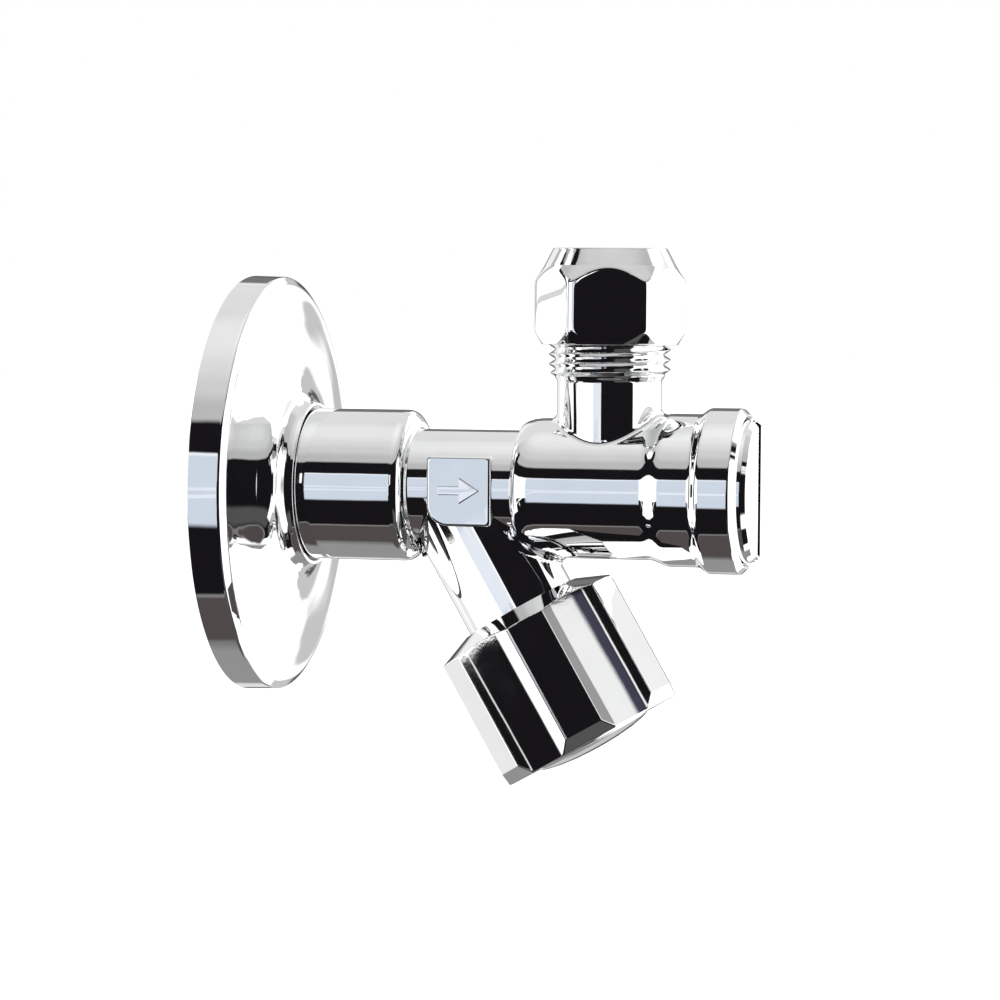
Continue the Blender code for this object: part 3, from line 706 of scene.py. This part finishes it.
def valve_body():
    tube_rows = body_outline()
    boss_outline = [(1.0, 0.0), (1.0, BOSS_RADIUS), (BOSS_END, BOSS_RADIUS, 0.3), (BOSS_END, 0.0)]
    boss_rows = dense(rounded(boss_outline, 0.1, closed=False), 0.32)
    pipe_start, swell_start = 2.0, 14.2
    pipe_places = np.concatenate([
        np.arange(pipe_start, swell_start, 0.3),
        np.arange(swell_start, OUTLET_TOP - 0.25, 0.09),
        [OUTLET_TOP - 0.2, OUTLET_TOP],
    ])
    inlet_places = np.arange(INLET_END, INLET_THREAD_END, 0.15)
    body = turned("body_casting", tube_rows, TUBE, 224, closed=False)
    combine(body, [
        reach_solid("outlet_pipe", OUTLET_REACH, pipe_places, 180, OUTLET),
        turned("boss", boss_rows, HANDLE, 190, closed=False),
    ], "UNION")
    pipe_surface = reach_surface(OUTLET_REACH, OUTLET, pipe_start, OUTLET_TOP)
    skin_surface = filleted([
        turned_surface(tube_rows, TUBE), pipe_surface, turned_surface(boss_rows, HANDLE),
    ], JUNCTION_FILLET)
    settle(body, skin_surface, 0.9)
    combine(body, [
        reach_solid("inlet_thread", INLET_REACH, inlet_places, 160, TUBE),
        flow_pad(),
        flow_arrow(),
    ], "UNION")
    combine(body, body_bores(), "DIFFERENCE")
    inlet_surface = reach_surface(INLET_REACH, TUBE, INLET_END, INLET_THREAD_END)
    polish(body, [skin_surface, inlet_surface])
    return finish_piece(body, CHROME_BODY, "body", "body_chrome", "valve_body")


# Escutcheon

def escutcheon_plate():
    """Pressed disc with a straight edge wall and a trumpet that ends in a thin rolled lip."""
    radius, face = PLATE_RADIUS, PLATE_FACE
    outline = [(PLATE_BACK, radius, 0.15), (4.4, radius - 0.12, 0.6), (5.15, radius - 1.25, 0.8)]
    trumpet = [(5.22, 26.4), (5.47, 24.4), (5.78, 21.5), (5.95, 19.0), (6.1, 16.6), (6.45, 14.4)]
    outline += curve(trumpet + [(7.2, 12.6), (8.2, 11.7)])
    outline += [(face - 0.45, 11.45, 0.2), (face, 11.3, 0.15), (face, 10.8, 0.15)]
    outline += curve([(7.3, 10.8), (6.3, 12.0), (5.3, 15.0), (4.8, 18.0), (4.55, 24.0)])
    outline += [(4.3, radius - 2.7, 0.6), (3.5, radius - 1.5, 0.6), (PLATE_BACK, radius - 0.8, 0.15)]
    plate = turned("escutcheon_plate", rounded(outline), TUBE, 576)
    return finish_piece(plate, CHROME_PRESSED, "escutcheon", "escutcheon_chrome", "wall_escutcheon")


# Outlet nut

def soft_least(values, width):
    """The least of several surfaces, with the edges where they cross rounded off."""
    least = np.minimum.reduce(values)
    total = sum(np.exp(-(value - least) / width) for value in values)
    return least - width * np.log(total)


def flat_reach(angle, centre, apothem):
    """Reach of a flat face whose middle is at an angle, or far out on the other side."""
    cosine = np.cos(angle - centre)
    return apothem / np.maximum(cosine, 0.2)


def nut_reach(apothem, turn, form):
    places = form[:, 0]
    reaches = form[:, 1]

    def reach(angle, along):
        flats = [flat_reach(angle, turn + math.radians(60.0 * i), apothem) for i in range(6)]
        hexagon = soft_least(flats, 0.34)
        cap = np.interp(along, places, reaches)
        return soft_least([hexagon, cap], 0.12)

    return reach


def outlet_nut():
    """Hexagon nut with softened corners, domed above and chamfered below."""
    low, high = NUT_BOTTOM, NUT_TOP
    edge = 0.2
    form = [(low, 9.3), (low + 2.4, 10.75, 2.0), (low + 8.0, 10.75, 3.0)]
    form += curve([(low + 9.0, 10.1), (low + 10.1, 9.3), (low + 11.8, 8.45)]) + [(high, 7.75)]
    form_rows = dense(rounded(form + [(high, 0.0), (low, 0.0)]), 0.05)
    form_rows = form_rows[form_rows[:, 1] > 7.7]
    form_rows = form_rows[np.argsort(form_rows[:, 0])]
    reach = nut_reach(9.2, math.radians(40.8), form_rows)
    angles = np.linspace(0.0, math.tau, 540, endpoint=False)
    places = np.linspace(low + edge, high - edge, 92)
    points, normals = reach_rows(reach, angles, places)
    top_points, top_normals = edge_rows(points[-1], normals[-1], edge, 1.0)
    foot_points, foot_normals = edge_rows(points[0], normals[0], edge, -1.0)
    bore = [(high, 6.4), (high, 5.3, 0.3), (low + 10.7, 5.3), (low + 8.5, 7.0), (low + 8.5, 8.65)]
    bore += [(low, 8.65, 0.15), (low, 8.9)]
    bore_rows = rounded(bore + [(low - 30.0, 8.9), (low - 30.0, 40.0), (high, 40.0)], 0.1)
    bore_rows = bore_rows[(bore_rows[:, 0] >= low - 1e-6) & (bore_rows[:, 1] < 8.85)]
    inner_points, inner_normals = profile_rows(bore_rows, angles)
    nut = skin(
        "outlet_nut",
        np.concatenate([foot_points[::-1], points, top_points, inner_points]),
        np.concatenate([foot_normals[::-1], normals, top_normals, inner_normals]),
        OUTLET,
    )
    return finish_piece(nut, CHROME_TURNED, "nut", "nut_chrome", "compression_nut")


def ferrule_ring():
    outline = [(25.3, 5.1), (25.3, 5.45), (27.1, 6.15, 0.4), (28.2, 6.15, 0.4), (29.9, 5.45), (29.9, 5.1)]
    ring = turned("ferrule_ring", rounded(outline, 0.12), OUTLET, 128)
    return finish_piece(ring, BRASS, "ferrule", "brass", "compression_ferrule")


# Strainer cap

CAP_THREAD = 60.8, 69.0
CAP_REACH = thread_reach(8.45, 9.15, 1.5, *CAP_THREAD, lambda along: 8.4 + 0.0 * along)


def slotted_cap():
    """Threaded plug with a seal groove and a flat head that a wide slot runs across."""
    face, head = CAP_FACE, CAP_HEAD_RADIUS
    outline = [(CAP_START, 0.0), (CAP_START, 7.7), (58.2, 7.7), (58.2, 6.2), (60.4, 6.2), (60.4, 7.7)]
    outline += [(61.5, 7.7), (61.5, 8.38), (69.3, 8.38), (69.3, head), (face - 1.0, head, 0.4)]
    outline += [(face - 0.3, 9.25, 0.4), (face, 8.9, 0.3), (face, 0.0)]
    rows = rounded(outline, 0.12, closed=False)
    cap = turned("slotted_cap", rows, TUBE, 160, closed=False)
    places = np.arange(CAP_THREAD[0], CAP_THREAD[1] + 0.01, 0.12)
    combine(cap, [reach_solid("cap_thread", CAP_REACH, places, 120, TUBE)], "UNION")
    hollow = [(56.0, 0.0), (56.0, 5.5), (66.0, 5.5), (66.0, 0.0)]
    half, floor, tall = 1.2, face - 1.4, 12.0
    rings = []
    for depth, width in ((floor, half), (face - 0.12, half), (face + 0.5, half + 0.62)):
        corners = ((-width, -tall), (width, -tall), (width, tall), (-width, tall))
        rings.append([(depth, side, height) for side, height in corners])
    combine(cap, [
        turned("cap_hollow", rounded(hollow, 0.1, closed=False), TUBE, 96, closed=False),
        loft("slot", rings, WORLD),
    ], "DIFFERENCE")
    polish(cap, [turned_surface(rows, TUBE), reach_surface(CAP_REACH, TUBE, *CAP_THREAD)])
    return finish_piece(cap, CHROME_TURNED, "cap", "cap_chrome", "filter_cap")


def seal_ring(name, centre, radius, thickness, matrix, body, node):
    """A round-section ring with the thin moulding line it has inside and outside."""
    sides = 24
    outline = []
    for i in range(sides):
        angle = math.tau * i / sides
        size = thickness / 2 + (0.02 if i in (6, 18) else 0.0)
        outline.append((centre + size * math.cos(angle), radius + size * math.sin(angle), CURVE))
    ring = turned(name, rounded(outline), matrix, 128)
    return finish_piece(ring, RUBBER, body, "rubber", node)


def strainer_cage():
    """Moulded cage: foot ring, four ribs and a tail that plugs into the cap."""
    foot = [(42.0, 4.4), (42.0, 7.55), (43.5, 7.55), (43.5, 4.4)]
    cage = turned("strainer_cage", rounded(foot, 0.2), TUBE, 96)
    tail = [(55.5, 4.4), (55.5, 7.0), (56.6, 7.0), (56.6, 5.2), (64.0, 5.2), (64.0, 4.4)]
    parts = [turned("tail", rounded(tail, 0.15), TUBE, 96)]
    for i in range(4):
        spin = TUBE @ Matrix.Rotation(math.radians(45.0 + 90.0 * i), 4, "Z")
        rings = []
        for along in (43.0, 56.0):
            rings.append([(6.1, -0.6, along), (6.9, -0.45, along), (6.9, 0.45, along), (6.1, 0.6, along)])
        parts.append(loft("rib", rings, spin))
    combine(cage, parts, "UNION")
    polish(cage)
    return finish_piece(cage, PLASTIC, "strainer", "plastic", "filter_frame")


def strainer_screen():
    """Perforated steel sleeve: every cell of a rolled grid has a round hole through it."""
    columns, rows = 30, 10
    low, high, inner, outer = 43.8, 55.2, 5.28, 5.5
    sides, hole_size = 8, 0.3
    width = math.tau / columns
    height = (high - low) / rows
    points = []
    faces = []
    cell_points = []
    for row in range(rows):
        for column in range(columns):
            middle = (column + 0.5 * (row % 2)) * width, low + (row + 0.5) * height
            ring = []
            for k in range(sides):
                angle = math.tau * (k + 0.5) / sides
                across, up = math.cos(angle), math.sin(angle)
                square = 0.5 / max(abs(across), abs(up))
                ring.append([
                    (middle[0] + size * across * width, middle[1] + size * up * height)
                    for size in (square, hole_size)
                ])
            cell_points.append(ring)
    for ring in cell_points:
        base = len(points)
        for rim, hole in ring:
            for angle, along in (rim, hole):
                for radius in (inner, outer):
                    points.append((radius * math.cos(angle), radius * math.sin(angle), along))
        for k in range(sides):
            here = base + 4 * k
            there = base + 4 * ((k + 1) % sides)
            faces.append((here + 1, there + 1, there + 3, here + 3))
            faces.append((here, here + 2, there + 2, there))
            faces.append((here + 3, there + 3, there + 2, here + 2))
    screen = mesh_object("strainer_screen", points, faces, TUBE)
    polish(screen)
    return finish_piece(screen, STEEL, "strainer", "steel", "filter_screen")


def inlet_seal():
    outline = [(2.8, 9.55), (4.6, 9.55), (4.6, 10.3), (4.3, 10.5), (3.1, 10.5), (2.8, 10.3)]
    ring = turned("inlet_seal", rounded(outline, 0.15), TUBE, 128)
    return finish_piece(ring, PTFE, "body", "ptfe", "inlet_seal_ring")


# Handle

def knob_reach():
    """Six wide flats with bevelled sides, hollow stretches between them, chamfered at the end."""
    flat_apothem, bevel_apothem = 13.54, 12.618
    flat_turn, bevel_turn = math.radians(17.4), math.radians(35.0)
    half_pitch = math.radians(30.0)
    chamfer_length, chamfer_depth = 1.8, 0.983
    hollow_depth, hollow_radius = 12.862, 80.0
    mouth_radius, mouth_slope = 8.6, 2.4

    def reach(angle, along):
        side = np.abs((angle - flat_turn + half_pitch) % (2 * half_pitch) - half_pitch)
        past_chamfer_start = np.maximum(along - (KNOB_END - chamfer_length), 0.0)
        chamfered = flat_apothem - past_chamfer_start * chamfer_depth / chamfer_length
        wide = chamfered / np.cos(side)
        bevel = bevel_apothem / np.cos(side - bevel_turn)
        far = hollow_depth + hollow_radius
        lean = np.cos(side - half_pitch) * far
        hollow = lean - np.sqrt(lean ** 2 - far ** 2 + hollow_radius ** 2)
        between_flats = -soft_least([-bevel, -hollow], 0.02)
        outline = soft_least([wide, between_flats], 0.03)
        cone = mouth_radius + mouth_slope * (along - KNOB_START)
        return soft_least([outline, cone], 0.03)

    return reach


def knob():
    """Hollow knob with a shallow cone towards the boss and a recess for its cover."""
    reach = knob_reach()
    edge = 0.18
    angles = np.linspace(0.0, math.tau, 600, endpoint=False)
    places = np.concatenate([
        np.linspace(KNOB_START + 0.05, KNOB_START + 2.4, 26),
        np.linspace(KNOB_START + 3.4, KNOB_END - 2.2, 10),
        np.linspace(KNOB_END - 2.0, KNOB_END - edge, 20),
    ])
    points, normals = reach_rows(reach, angles, places)
    end_points, end_normals = edge_rows(points[-1], normals[-1], edge, 1.0)
    low, high = KNOB_START, KNOB_END
    inside = [(high, 10.5), (high, 8.8, 0.2), (38.9, 8.8), (38.9, 3.9), (37.2, 3.9), (37.2, 1.7)]
    inside += [(35.6, 1.7), (35.6, 2.4), (31.0, 2.4), (31.0, 5.2), (37.4, 5.2), (37.4, 9.8)]
    inside += [(22.4, 9.8, 0.6), (low + 2.0, 8.15, 0.4), (low, 8.15, 0.1)]
    inside_rows = rounded(inside + [(low, 8.4), (low - 30.0, 8.4), (low - 30.0, 40.0), (high, 40.0)], 0.12)
    keep = (inside_rows[:, 0] >= low - 1e-6) & (inside_rows[:, 1] < 11.0)
    inside_rows = inside_rows[keep]
    inner_points, inner_normals = profile_rows(inside_rows, angles)
    made = skin(
        "knob",
        np.concatenate([points, end_points, inner_points]),
        np.concatenate([normals, end_normals, inner_normals]),
        HANDLE,
    )
    return finish_piece(made, CHROME_TURNED, "handle", "handle_chrome", "handle")


def knob_cover():
    """Shallow dome that snaps into the end of the knob."""
    low, top, radius = COVER_START, COVER_TOP, COVER_RADIUS
    outline = [(low, 0.0), (low, radius), (KNOB_END, radius, 0.25)]
    outline += curve([(40.3, 8.1), (40.75, 6.4), (41.05, 4.3), (41.2, 2.1)]) + [(top, 0.0)]
    made = turned("knob_cover", rounded(outline, 0.12, closed=False), HANDLE, 160, closed=False)
    return finish_piece(made, CHROME_TURNED, "handle", "handle_cap_chrome", "handle_cap")


# Inner pieces keep the frame's own shapes

def dress_inner_pieces():
    finishes = {
        "bonnet": BRASS, "spindle": BRASS, "valve_plunger": BRASS,
        "bonnet_gasket": FIBRE, "seat_washer": RUBBER,
        "spindle_clip": STEEL, "washer_screw": STEEL, "handle_screw": STEEL,
    }
    for node, material in finishes.items():
        mesh = frame["nodes"][node].data
        mesh.materials.clear()
        mesh.materials.append(material)


# Studio

def linear(value):
    """A display value as the light that shows as it in the chrome."""
    return ((value + 0.055) / 1.055) ** 2.4 / CHROME_REFLECTANCE


def grey(value):
    return value, value, value


CAMERA_AZIMUTH = 13.89
CHROME_REFLECTANCE = 0.93
WHITE = grey(1.12)
BLACK = (0.085, 0.078, 0.088)
BROWN = (0.31, 0.29, 0.285)
BLUE = (0.80, 0.835, 0.885)
PALE_BLUE = (0.895, 0.915, 0.95)
# Degrees to the plane square to the handle within which the boss reflects; the knob's are higher
BOSS_BAND = -4.1, -2.5
# Colour, degrees to the side of the camera (right is positive, none means all round),
# degrees up, edge softness in degrees, and for a split card whether it is the knob's part
STUDIO_CARDS = (
    (grey(0.72), (), (33.0, 95.0), 2.0),
    (grey(0.80), (), (47.0, 95.0), 5.0),
    (grey(0.85), (), (59.0, 95.0), 5.0),
    (grey(0.90), (), (68.0, 95.0), 5.0),
    (grey(0.94), (), (77.0, 100.0), 4.0),
    (grey(0.86), (115.0, 245.0), (31.0, 64.0), 5.0),
    (BROWN, (), (-95.0, -57.0), 3.0),
    (grey(0.56), (120.0, 240.0), (-72.0, -28.0), 5.0),
    (grey(0.68), (140.0, 220.0), (-28.0, -10.0), 5.0),
    (BLACK, (-118.0, 100.0), (-58.0, 34.5), 1.5),
    (grey(0.32), (12.0, 62.0), (-56.0, -33.0), 4.0),
    (WHITE, (52.0, 158.0), (-42.0, 30.0), 1.2),
    (BLACK, (50.0, 80.0), (26.0, 36.0), 1.0),
    ((0.25, 0.25, 0.31), (48.5, 54.0), (25.0, 35.0), 1.0, True),
    (grey(0.93), (53.0, 62.5), (25.0, 35.0), 0.7, True),
    (grey(0.60), (62.5, 76.0), (25.0, 35.0), 0.7, True),
    (grey(0.94), (114.0, 132.0), (16.0, 29.0), 2.0),
    (grey(0.74), (157.5, 180.0), (-28.0, 12.0), 2.5),
    (grey(0.76), (151.5, 180.0), (1.5, 18.0), 1.0),
    (grey(0.76), (151.5, 180.0), (-28.0, -6.5), 1.0),
    (grey(0.86), (180.0, 202.0), (-28.0, 12.0), 1.0),
    (WHITE, (94.0, 150.0), (28.0, 41.0), 2.0),
    (WHITE, (-142.0, -66.0), (-31.0, 17.5), 0.9),
    (grey(0.91), (-150.0, -114.0), (-34.0, -22.5), 3.0),
    (WHITE, (-68.0, -20.0), (-13.5, 17.5), 0.9),
    (WHITE, (-68.0, -10.5), (-31.0, -12.5), 0.9, False),
    (WHITE, (-22.0, -10.5), (-14.5, 17.5), 0.9, False),
    (WHITE, (-14.0, -9.5), (3.0, 17.5), 0.9),
    (grey(0.93), (-170.0, -141.0), (-22.0, 40.0), 3.0),
    (grey(0.72), (-140.0, -128.0), (-17.0, 30.0), 2.0),
    (WHITE, (-128.0, -116.0), (-17.0, 38.0), 1.5),
    (grey(0.23), (-116.0, -104.0), (-17.0, 24.0), 1.5),
    (WHITE, (-104.0, -90.0), (-17.0, 40.0), 1.2),
    (BLACK, (-91.0, -79.0), (-17.0, 46.0), 1.2),
    (BLUE, (-36.5, -22.0), (-20.5, 17.0), 1.6),
    (PALE_BLUE, (-38.0, -20.0), (-2.2, -0.7), 0.4),
    (PALE_BLUE, (-38.5, -11.0), (-9.8, 7.0), 1.2, False),
    (grey(0.88), (-54.2, -53.2), (-25.0, -13.0), 0.3, True),
    (grey(0.95), (46.4, 47.8), (22.0, 33.0), 0.4, True),
    (grey(0.45), (169.0, 191.0), (9.0, 30.0), 3.0),
    (grey(0.34), (165.0, 195.0), (-17.0, 12.0), 3.0),
)


def studio_world():
    """A light tent: pale all round, with soft boxes and dark cards painted by direction."""
    world = bpy.data.worlds.new("studio")
    bpy.context.scene.world = world
    world.use_nodes = True
    nodes = world.node_tree.nodes
    links = world.node_tree.links
    place = nodes.new("ShaderNodeTexCoord")
    split = nodes.new("ShaderNodeSeparateXYZ")
    links.new(place.outputs["Generated"], split.inputs[0])

    def math_node(operation, *values):
        made = nodes.new("ShaderNodeMath")
        made.operation = operation
        for socket, value in zip(made.inputs, values):
            if isinstance(value, (int, float)):
                socket.default_value = value
            else:
                links.new(value, socket)
        return made.outputs[0]

    x, y, z = split.outputs
    up = math_node("MULTIPLY", math_node("ARCSINE", z), math.degrees(1.0))
    heading = math_node("ARCTAN2", x, math_node("MULTIPLY", y, -1.0))
    aside = math_node("SUBTRACT", math_node("MULTIPLY", heading, math.degrees(1.0)), CAMERA_AZIMUTH)
    front = math_node("WRAP", aside, 180.0, -180.0)
    rear = math_node("WRAP", aside, 360.0, 0.0)
    along_handle = math_node("ADD", math_node("MULTIPLY", x, 0.5), math_node("MULTIPLY", z, -0.8660254))
    handle_angle = math_node("MULTIPLY", math_node("ARCSINE", along_handle), math.degrees(1.0))
    boss_edge_softness = 0.06

    def step(value, place, soft):
        made = nodes.new("ShaderNodeMapRange")
        made.interpolation_type = "SMOOTHSTEP"
        links.new(value, made.inputs["Value"])
        made.inputs["From Min"].default_value = place - soft
        made.inputs["From Max"].default_value = place + soft
        return made.outputs[0]

    def between(value, low, high, soft):
        return math_node("SUBTRACT", step(value, low, soft), step(value, high, soft))

    def card(below, colour, sides, heights, soft=1.0, past_boss=None):
        """Paints a patch of one colour over what is there already.

        past_boss splits a patch by the angle to the handle's axis: False keeps the part that
        shows in the boss, True the part that shows in the knob.
        """
        mask = between(up, *heights, soft)
        if sides:
            across = between(rear if sides[1] > 180.0 else front, *sides, soft)
            mask = math_node("MULTIPLY", mask, across)
        if past_boss is not None:
            knob_part = step(handle_angle, BOSS_BAND[1], boss_edge_softness)
            boss_part = between(handle_angle, *BOSS_BAND, boss_edge_softness)
            mask = math_node("MULTIPLY", mask, knob_part if past_boss else boss_part)
        mix = nodes.new("ShaderNodeMix")
        mix.data_type = "RGBA"
        links.new(mask, mix.inputs["Factor"])
        links.new(below, mix.inputs["A"])
        mix.inputs["B"].default_value = (*(linear(value) for value in colour), 1.0)
        return mix.outputs["Result"]

    start = nodes.new("ShaderNodeRGB")
    start.outputs[0].default_value = (*(linear(value) for value in WHITE), 1.0)
    paint = start.outputs[0]
    for row in STUDIO_CARDS:
        paint = card(paint, *row)

    paths = nodes.new("ShaderNodeLightPath")
    shown = nodes.new("ShaderNodeMix")
    shown.data_type = "RGBA"
    links.new(paths.outputs["Is Glossy Ray"], shown.inputs["Factor"])
    shown.inputs["A"].default_value = (1.0, 1.0, 1.0, 1.0)
    links.new(paint, shown.inputs["B"])
    links.new(shown.outputs["Result"], nodes["Background"].inputs["Color"])


def studio_floor():
    """A wide pale disc under the valve, kept out of the chrome so the cards show in it."""
    depth, radius, corners = -120.0, 6000.0, 96
    angles = np.linspace(0.0, math.tau, corners, endpoint=False)
    points = [(radius * math.cos(angle), radius * math.sin(angle), depth) for angle in angles]
    floor = mesh_object("floor", points, [tuple(range(corners))], WORLD)
    made, nodes, links, shader = shader_tree("pale_floor")
    paper = noise(nodes, links, 60.0, 4.0)
    links.new(mottled(nodes, links, paper, grey(0.90), grey(0.93)), shader.inputs["Base Color"])
    shader.inputs["Roughness"].default_value = 0.9
    shader.inputs["Specular IOR Level"].default_value = 0.1
    floor.data.materials.append(made)
    floor.visible_glossy = False


def soft_lamp():
    """An even lamp overhead that brightens the floor and the pieces that aren't metal."""
    lamp = bpy.data.lights.new("soft_lamp", "SUN")
    lamp.energy = 1.4
    lamp.angle = math.radians(60.0)
    made = bpy.data.objects.new("soft_lamp", lamp)
    made.visible_glossy = False
    bpy.context.scene.collection.objects.link(made)


def studio_camera():
    """The camera half a metre away, a little to the right of the valve and above it."""
    target = Vector((0.040, 0.0, 0.0))
    distance = 0.49925
    azimuth, elevation, roll = math.radians(CAMERA_AZIMUTH), math.radians(3.0), math.radians(0.39)
    level = Vector((math.sin(azimuth), -math.cos(azimuth), 0.0))
    back = level * math.cos(elevation) + Vector((0.0, 0.0, math.sin(elevation)))
    camera = bpy.data.cameras.new("camera")
    camera.lens = 130.5
    camera.sensor_width = 36.0
    camera.shift_x = -0.0315
    camera.shift_y = -0.0125
    camera.clip_start = 0.01
    camera.clip_end = 50.0
    made = bpy.data.objects.new("camera", camera)
    turn = back.to_track_quat("Z", "Y").to_matrix().to_4x4()
    made.matrix_world = Matrix.Translation(target + back * distance) @ turn @ Matrix.Rotation(roll, 4, "Z")
    bpy.context.scene.collection.objects.link(made)
    bpy.context.scene.camera = made


studio_camera()
valve_body()
escutcheon_plate()
outlet_nut()
ferrule_ring()
slotted_cap()
seal_ring("cap_seal", 59.3, 7.1, 1.36, TUBE, "cap", "filter_cap_o_ring")
strainer_cage()
strainer_screen()
inlet_seal()
knob()
knob_cover()
seal_ring("spindle_seal_inner", 23.7, 2.6, 0.86, HANDLE, "handle", "spindle_o_ring_inner")
seal_ring("spindle_seal_outer", 26.5, 2.6, 0.86, HANDLE, "handle", "spindle_o_ring_outer")
dress_inner_pieces()
studio_world()
studio_floor()
soft_lamp()
bpy.context.scene.view_settings.view_transform = "Standard"
bpy.context.scene.view_settings.look = "None"
